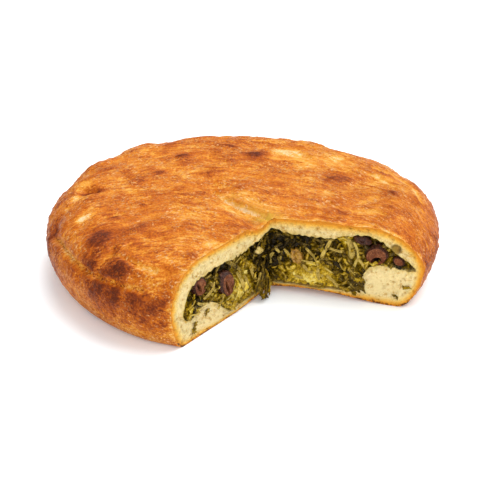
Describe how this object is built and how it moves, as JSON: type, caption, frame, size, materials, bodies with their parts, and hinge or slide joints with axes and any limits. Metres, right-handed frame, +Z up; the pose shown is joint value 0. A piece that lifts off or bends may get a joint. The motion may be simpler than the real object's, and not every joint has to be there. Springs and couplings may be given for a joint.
{
  "type": "escarole pie",
  "caption": "Round baked dough pie with a large slice cut out, showing its escarole and olive filling at both cuts.",
  "frame": {"origin": "centre of the round outline, on the flat base that the pie rests on", "axes": "+Z up out of the top crust; the missing slice opens towards -Y and +X"},
  "size_m": [0.2801, 0.2679, 0.0577],
  "materials": {
    "crust": "baked dough, golden brown and satin on the skin, cream and porous at the cuts",
    "greens": "cooked escarole, dark green to olive, wet with oil",
    "olive": "black olive, glossy purple-brown skin and matte cut flesh",
    "raisin": "plumped raisin, amber brown and wrinkled",
    "pine_nut": "pine nut, cream, softly satin"
  },
  "bodies": {
    "root": {"dough": "crust", "filling": "greens", "olive_left_outer": "olive", "olive_left_inner": "olive", "olive_right": "olive", "olive_right_upper": "olive", "olive_right_small": "olive", "raisin_right": "raisin", "pine_nut_left": "pine_nut"}
  },
  "joints": []
}
